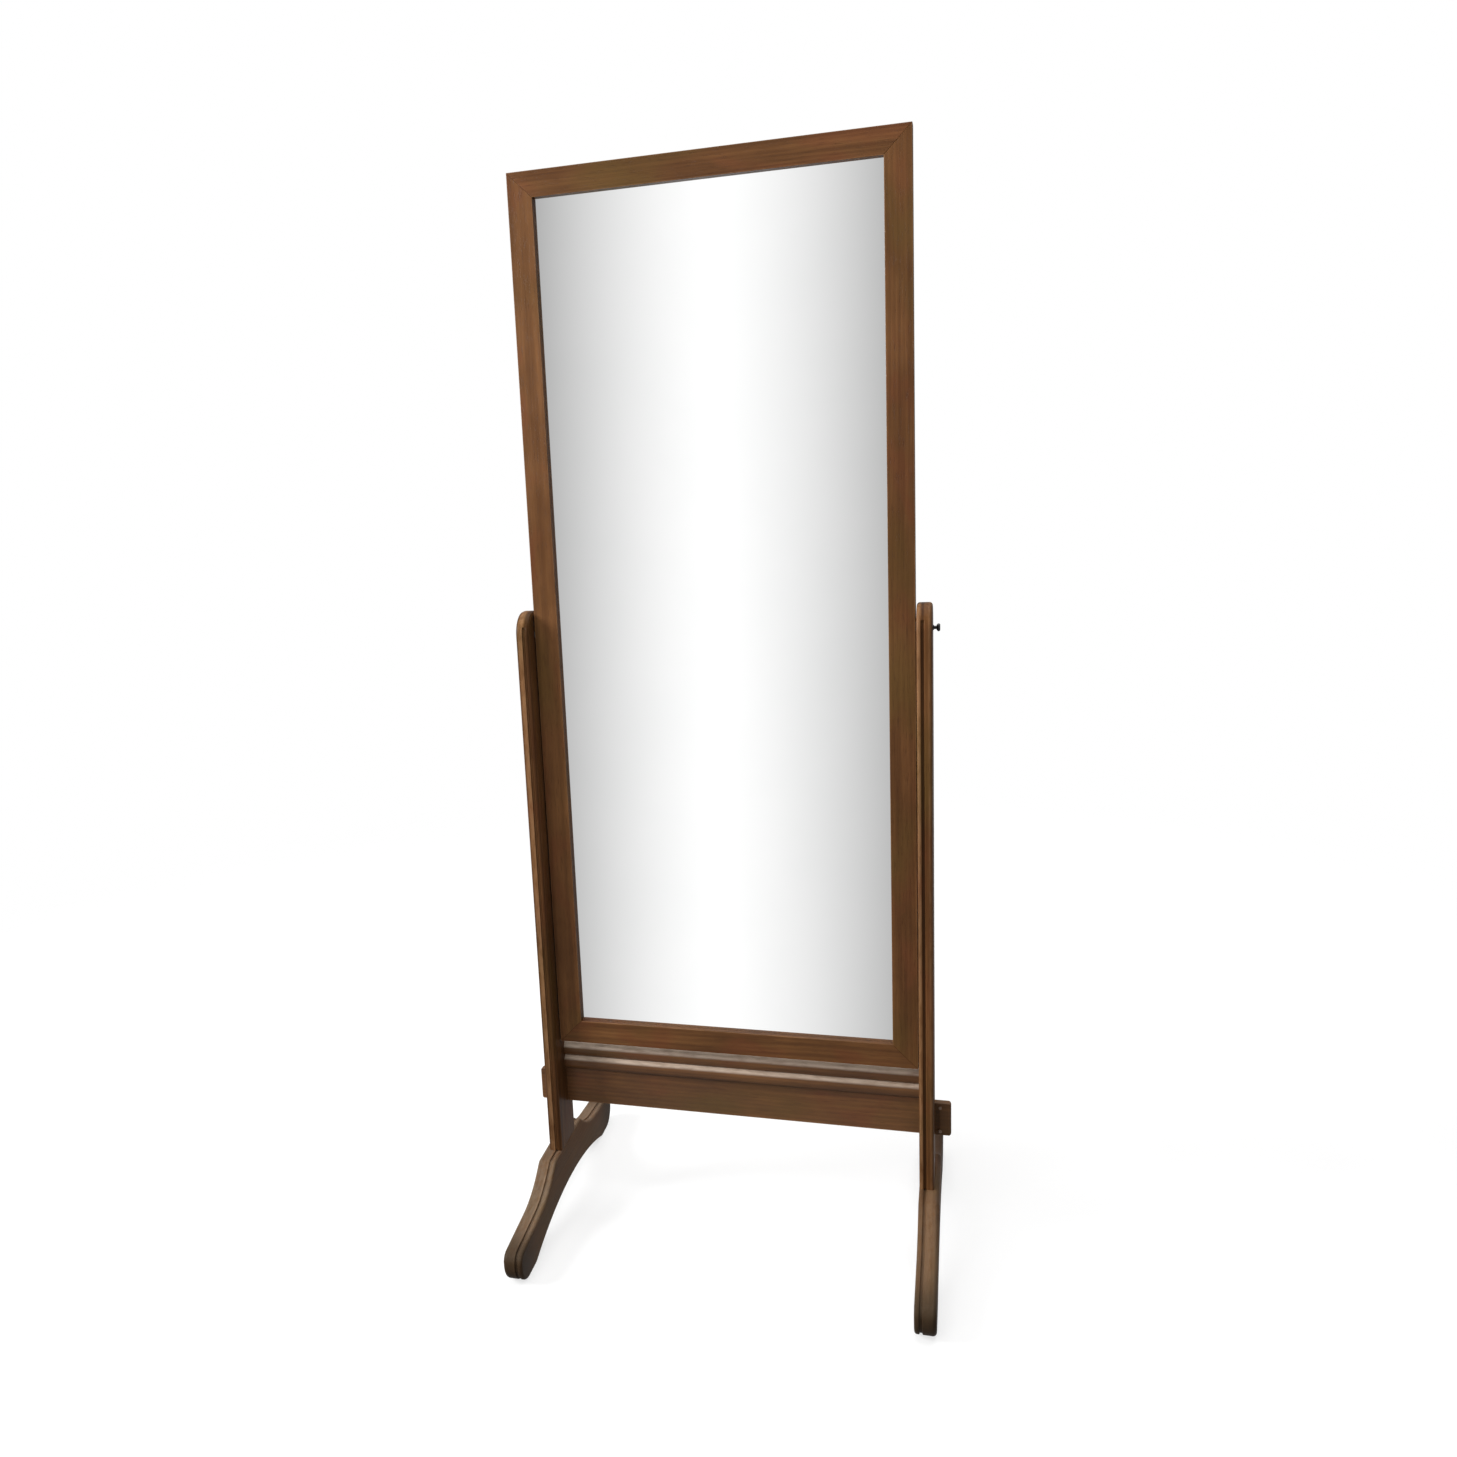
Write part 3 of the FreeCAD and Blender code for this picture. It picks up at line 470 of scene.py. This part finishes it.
LOOKS = {
    "frame_left_stile": wood("frame_wood_left", ALONG_Z, (0.31, 0.12, 0.0),
                             wear_lines=STILE_LINES, **FRAME_FINISH),
    "frame_right_stile": wood("frame_wood_right", ALONG_Z, (0.77, 0.31, 3.1),
                              wear_lines=STILE_LINES, **FRAME_FINISH),
    "frame_top_rail": wood("frame_wood_top", ALONG_X, (0.0, 0.53, 0.27),
                           wear_lines=RAIL_LINES, **FRAME_FINISH),
    "frame_bottom_rail": wood("frame_wood_bottom", ALONG_X, (2.3, 0.91, 0.63), 0.95,
                              wear_lines=RAIL_LINES, **FRAME_FINISH),
    # The posts and feet are lit and shaded copies of one wood. Pale strips are wear and a
    # painted highlight on the beads that face the key light. Dark strips are painted shade on
    # the left post's inner bead and outer arris, in the grooves, and on the outer edges of the
    # feet.
    "left_post": wood("post_wood_left", ALONG_Z, (1.31, 0.42, 0.0), **POST_FINISH,
                      band_highlight_and_wear=[(POST_LOW.x + 14 * MM, 6 * MM, 1.0)],
                      band_shade=[(POST_LOW.x + 3 * MM, 8 * MM, 0.6),
                                  (POST_HIGH.x - 0.5 * MM, 4 * MM, 0.5)]),
    "right_post": wood("post_wood_right", ALONG_Z, (1.91, 0.77, 1.7), **POST_FINISH,
                       band_highlight_and_wear=[(POST_LOW.x + 3 * MM, 3.5 * MM, 1.0),
                                  (POST_LOW.x + 19.5 * MM, 4 * MM, 0.6)],
                       band_shade=[(GROOVE_MIDDLE, 2.5 * MM, 0.6)]),
    "stretcher": wood("stretcher_wood", ALONG_X, (0.4, 1.2, 1.9), 0.96, STRETCHER_LINES,
                      gloss=0.34, gleam=0.3, lit_tops=0.95),
    "left_foot": wood("foot_wood_left", ALONG_Y, (0.9, 0.2, 1.1), 1.0, **FOOT_FINISH,
                      band_highlight_and_wear=[(POST_LOW.x + 12 * MM, 3 * MM, 0.9)],
                      band_shade=[FOOT_GROOVE_SHADE, (POST_HIGH.x + 6 * MM, 8 * MM, 0.35)],
                      dust=0.5),
    "right_foot": wood("foot_wood_right", ALONG_Y, (1.7, 1.2, 0.4), 0.9, **FOOT_FINISH,
                       band_highlight_and_wear=[(POST_LOW.x + 16 * MM, 6 * MM, 0.6)],
                       band_shade=[FOOT_GROOVE_SHADE, (POST_HIGH.x + 7 * MM, 5 * MM, 0.4)],
                       dust=0.22, rear_shade=0.6),
    "mirror_glass": mirror("mirror"),
    "glass_felt": plain("felt", (0.05, 0.05, 0.052, 1), 0.95, 0.5, 900.0, 0.2 * MM,
                        Sheen_Weight=0.4),
    "backing_board": hardboard("hardboard"),
    "backing_screws": steel,
    "mitre_keys": wood("key_wood", ALONG_X, (0.8, 0.6, 0.2), 1.1),
}
for side in ("left", "right"):
    LOOKS.update({
        side + "_tenon_pegs": peg_wood,
        side + "_foot_dowels": peg_wood,
        side + "_foot_bolt": steel,
        side + "_barrel_nut": steel,
        side + "_pivot_washer": steel,
        side + "_pivot_insert": brass,
        side + "_ferrule": black_metal,
        side + "_pivot_stud": black_metal,
        side + "_knob": black_knob,
    })


def dress(obj, look):
    """Give every material slot of an object one look."""
    if not obj.material_slots:
        obj.data.materials.append(look)
    for slot in obj.material_slots:
        slot.material = look


for node, look in LOOKS.items():
    dress(NODES[node], look)

# ---------------------------------------------------------------- finer meshes of CAD nodes

WELD = 0.01 * MM


def place_object(name, mesh):
    obj = bpy.data.objects.new(name, mesh)
    bpy.context.scene.collection.objects.link(obj)
    return obj


def welded(node):
    """The node's mesh with its doubled vertices merged, to work on."""
    work = bmesh.new()
    work.from_mesh(NODES[node].data)
    bmesh.ops.remove_doubles(work, verts=work.verts, dist=WELD)
    return work


def finished(work, name, node, sharp_angle):
    """Turns the work into a smooth-shaded piece that stands for the node, on its body."""
    mesh = bpy.data.meshes.new(name)
    work.to_mesh(mesh)
    work.free()
    mesh.polygons.foreach_set("use_smooth", [True] * len(mesh.polygons))
    mesh.set_sharp_from_angle(angle=math.radians(sharp_angle))
    piece = place_object(name, mesh)
    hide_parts(node)
    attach(piece, NODES[node]["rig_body"])
    dress(piece, LOOKS[node])
    return piece


# The four frame members, with their long arrises eased.

EASED = 0.6 * MM            # width of the easing
FLAT_ANGLE = 0.5            # degrees: facets of one plane are merged below this
ARRIS_ANGLE = 30            # degrees: edges sharper than this are arrises
SHORTEST_ARRIS = 8 * MM
KEY_SLOT_HALF = 2.5 * MM


def is_long_arris(edge):
    """A sharp edge of a frame member, but not the rim of a hole or of a key's slot."""
    if len(edge.link_faces) != 2 or edge.calc_face_angle() <= math.radians(ARRIS_ANGLE):
        return False
    in_slot = all(abs(vert.co.y) < KEY_SLOT_HALF for vert in edge.verts)
    return edge.calc_length() > SHORTEST_ARRIS and not in_slot


for node in ("frame_top_rail", "frame_bottom_rail", "frame_left_stile", "frame_right_stile"):
    work = welded(node)
    bmesh.ops.dissolve_limit(work, angle_limit=math.radians(FLAT_ANGLE), verts=work.verts,
                             edges=work.edges)
    arrises = [edge for edge in work.edges if is_long_arris(edge)]
    bmesh.ops.bevel(work, geom=arrises, offset=EASED, offset_type="OFFSET", segments=3,
                    profile=0.5, affect="EDGES", clamp_overlap=True)
    piece = finished(work, node + "_eased", node, 50)
    flat_faces = piece.modifiers.new("flat_faces", "WEIGHTED_NORMAL")
    flat_faces.keep_sharp = True
    flat_faces.weight = 100

# The backing screws, with pan heads and cross recesses.

HEAD_RADIUS = 3 * MM
HEAD_HEIGHT = 1.8 * MM
HEAD_RINGS = 7
RECESS_DEPTH = 0.9 * MM
RECESS_ARM, RECESS_CORE = 0.26, 0.10    # reach of the cross, as parts of the head's radius
ARM_HALF_SINE = 0.28                    # half the arm's width, as the sine of its angle
SHANK_RADIUS = 1.5 * MM
SHANK_LENGTH = 12 * MM
SCREW_ANGLES = [2 * math.pi * i / 32 for i in range(32)]


def screw_row(bm, centre, y, radius_at):
    """A closed row of vertices round the screw's axis, which runs along Y."""
    return [bm.verts.new(centre + Vector((radius_at(a) * math.cos(a), y,
                                          radius_at(a) * math.sin(a))))
            for a in SCREW_ANGLES]


def cross_radius(angle):
    in_arm = min(abs(math.sin(angle)), abs(math.cos(angle))) < ARM_HALF_SINE
    return HEAD_RADIUS * (RECESS_ARM if in_arm else RECESS_CORE)


def pan_head_screw(bm, centre):
    """A closed screw: its head stands on the centre and looks along +Y."""
    shank = screw_row(bm, centre, -SHANK_LENGTH, lambda a: SHANK_RADIUS)
    rows = [shank]
    for ring in range(HEAD_RINGS + 1):
        rise = ring / HEAD_RINGS * math.pi / 2
        radius = HEAD_RADIUS * (0.30 + 0.70 * math.cos(rise) ** 0.8)
        rows.append(screw_row(bm, centre, HEAD_HEIGHT * math.sin(rise) ** 0.9,
                              lambda a: radius))
    rows.append(screw_row(bm, centre, HEAD_HEIGHT, cross_radius))
    rows.append(screw_row(bm, centre, HEAD_HEIGHT - RECESS_DEPTH, cross_radius))
    for lower, upper in zip(rows, rows[1:]):
        for i in range(len(lower)):
            j = (i + 1) % len(lower)
            bm.faces.new((lower[i], upper[i], upper[j], lower[j]))
    bm.faces.new(shank)
    bm.faces.new(list(reversed(rows[-1])))


def islands(bm):
    """The connected sets of vertices of a mesh."""
    left = set(bm.verts)
    while left:
        todo = [left.pop()]
        island = list(todo)
        while todo:
            for edge in todo.pop().link_edges:
                for vert in edge.verts:
                    if vert in left:
                        left.remove(vert)
                        todo.append(vert)
                        island.append(vert)
        yield island


def screw_centres():
    """Where the CAD screws' heads meet the board, in a fixed order."""
    source = welded("backing_screws")
    centres = []
    for island in islands(source):
        xs, ys, zs = zip(*(vert.co for vert in island))
        centres.append(Vector(((min(xs) + max(xs)) / 2, max(ys) - HEAD_HEIGHT,
                               (min(zs) + max(zs)) / 2)))
    source.free()
    return sorted(centres, key=lambda c: (round(c.z, 4), round(c.x, 4)))


screws = bmesh.new()
for centre in screw_centres():
    pan_head_screw(screws, centre)
bmesh.ops.recalc_face_normals(screws, faces=screws.faces)
finished(screws, "backing_screw_heads", "backing_screws", 40)

# ---------------------------------------------------------------- floor and reflector

FLOOR_REACH = 3.0
FLOOR_GLOW = 0.62                       # share of the floor that shines by itself
FLOOR_SHINE = 1.27
FLOOR_FADE_FROM, FLOOR_FADE_TO = 0.9, 2.8


def sheet_object(name, corners, look):
    mesh = bpy.data.meshes.new(name)
    mesh.from_pydata([Vector(c) for c in corners], [], [tuple(range(len(corners)))])
    obj = place_object(name, mesh)
    dress(obj, look)
    return obj


def floor_material():
    """Pale, partly shining by itself, and clear far from the object."""
    made, t = material("floor")
    pale = t.mix(t.smooth(t.noise(t.coordinates(), 2.0), 0.3, 0.7),
                 (0.86, 0.86, 0.86, 1), (0.88, 0.88, 0.88, 1))
    lit = t.add("ShaderNodeBsdfDiffuse")
    t.put(lit.inputs["Color"], pale)
    shine = t.add("ShaderNodeEmission")
    t.put(shine.inputs["Color"], pale)
    t.put(shine.inputs["Strength"], FLOOR_SHINE)
    near = t.add("ShaderNodeMixShader")
    t.put(near.inputs[0], FLOOR_GLOW)
    t.put(near.inputs[1], lit.outputs[0])
    t.put(near.inputs[2], shine.outputs[0])
    x, y, _ = t.split(t.coordinates())
    gone = t.add("ShaderNodeMixShader")
    t.put(gone.inputs[0], t.smooth(t.distance(x, y), FLOOR_FADE_FROM, FLOOR_FADE_TO))
    t.put(gone.inputs[1], near.outputs[0])
    t.put(gone.inputs[2], t.add("ShaderNodeBsdfTransparent").outputs[0])
    t.output(gone)
    return made


floor = sheet_object("floor", [
    (-FLOOR_REACH, -FLOOR_REACH, 0), (FLOOR_REACH, -FLOOR_REACH, 0),
    (FLOOR_REACH, FLOOR_REACH, 0), (-FLOOR_REACH, FLOOR_REACH, 0)], floor_material())
floor.visible_glossy = False
floor.visible_diffuse = False

# A tall soft panel in front of the mirror: bright down the middle, greyer to each side.
PANEL_LEFT, PANEL_RIGHT = -3.2, 2.2
PANEL_BOTTOM, PANEL_TOP = -4, 5
PANEL_Y = -3.0
PANEL_MIDDLE = -0.56                    # X of the bright line, at PANEL_LEVEL
PANEL_LEVEL = 0.6
PANEL_SLANT = 0.033                     # how far the bright line leans per metre of height
PANEL_HALF = 0.63                       # from the bright line to the greyer edge
PANEL_STRENGTH = 1.12
PANEL_FALL, PANEL_LOSS, PANEL_LEAST = 1.45, 0.49, 0.3


def reflector_material():
    made, t = material("reflector")
    px, _, pz = t.split(t.coordinates())
    middle = t.plus(t.times(t.minus(pz, PANEL_LEVEL), PANEL_SLANT), PANEL_MIDDLE)
    to_left = t.math("DIVIDE", t.minus(middle, px), PANEL_HALF)
    to_right = t.math("DIVIDE", t.minus(px, middle),
                      t.minus(PANEL_MIDDLE + PANEL_HALF, middle))
    fall = t.math("POWER", t.highest(to_left, to_right), PANEL_FALL)
    level = t.highest(t.minus(1.0, t.times(fall, PANEL_LOSS)), PANEL_LEAST)
    emit = t.add("ShaderNodeEmission")
    t.put(emit.inputs["Strength"], t.times(level, PANEL_STRENGTH))
    t.output(emit)
    return made


reflector = sheet_object("reflector", [
    (PANEL_LEFT, PANEL_Y, PANEL_BOTTOM), (PANEL_RIGHT, PANEL_Y, PANEL_BOTTOM),
    (PANEL_RIGHT, PANEL_Y, PANEL_TOP), (PANEL_LEFT, PANEL_Y, PANEL_TOP)],
    reflector_material())
reflector.visible_camera = False
reflector.visible_diffuse = False
reflector.visible_shadow = False
reflector.visible_transmission = False

# ---------------------------------------------------------------- world and lamps

SKY_SEEN, SKY_MIRRORED, SKY_LIGHT = 1.0, 0.42, 0.20


def studio_world():
    """White behind the object, grey in the glass, and a weak fill for the rest."""
    world = bpy.data.worlds.new("studio")
    world.use_nodes = True
    t = Tree(world.node_tree)
    path = t.add("ShaderNodeLightPath").outputs
    back = t.add("ShaderNodeBackground")
    t.put(back.inputs["Color"], (1.0, 1.0, 1.0, 1.0))
    mirrored = t.smooth(path["Is Glossy Ray"], 0.0, 1.0, SKY_LIGHT, SKY_MIRRORED)
    seen = t.times(path["Is Camera Ray"], SKY_SEEN)
    t.put(back.inputs["Strength"], t.highest(mirrored, seen))
    t.output(back, "ShaderNodeOutputWorld")
    return world


def lamp(name, location, target, size, power, in_glass=True):
    data = bpy.data.lights.new(name, "AREA")
    data.shape = "RECTANGLE"
    data.size, data.size_y = size
    data.energy = power
    obj = place_object(name, data)
    obj.location = location
    aim = Vector(target) - Vector(location)
    obj.rotation_euler = aim.to_track_quat("-Z", "Y").to_euler()
    obj.visible_glossy = in_glass


bpy.context.scene.world = studio_world()
lamp("key_left", (-2.3, -1.05, 1.75), (0.0, 0.0, 1.0), (0.9, 1.1), 84.0)
lamp("front_high", (-0.6, -2.7, 2.0), (0.0, 0.0, 0.4), (2.0, 1.0), 34.0, in_glass=False)
lamp("ceiling", (0.2, 0.4, 4.2), (0.2, 0.4, 0.0), (3.5, 3.5), 120.0)
lamp("rear_fill", (0.7, 2.9, 1.9), (0.0, 0.0, 0.9), (2.2, 1.4), 28.0, in_glass=False)

# ---------------------------------------------------------------- camera

# Fitted to the photograph: radians, and pixels of its 1457-pixel frame.
CAMERA_PLACE = Vector((0.36147, -1.92911, 1.25630))
YAW, PITCH, ROLL = 0.3035, -0.194, -0.0587
FOCAL = 1293.09
FRAME_PIXELS = 1457
CENTRE_X, CENTRE_Y = -157.99, -19.62
SENSOR = 36.0


def camera_matrix():
    forward = Vector((-math.sin(YAW) * math.cos(PITCH), math.cos(YAW) * math.cos(PITCH),
                      math.sin(PITCH)))
    level_right = Vector((math.cos(YAW), math.sin(YAW), 0.0))
    level_up = level_right.cross(forward)
    right = math.cos(ROLL) * level_right + math.sin(ROLL) * level_up
    up = -math.sin(ROLL) * level_right + math.cos(ROLL) * level_up
    columns = (right, up, -forward, CAMERA_PLACE)
    return Matrix([[column[i] for column in columns] for i in range(3)] + [[0, 0, 0, 1]])


lens = bpy.data.cameras.new("camera")
lens.sensor_fit = "HORIZONTAL"
lens.sensor_width = SENSOR
lens.lens = FOCAL / FRAME_PIXELS * SENSOR
lens.shift_x = -CENTRE_X / FRAME_PIXELS
lens.shift_y = CENTRE_Y / FRAME_PIXELS
lens.clip_start = 0.01
camera = place_object("camera", lens)
camera.matrix_world = camera_matrix()

scene = bpy.context.scene
scene.camera = camera
scene.view_settings.view_transform = "Standard"
scene.view_settings.look = "None"
scene.cycles.use_denoising = True
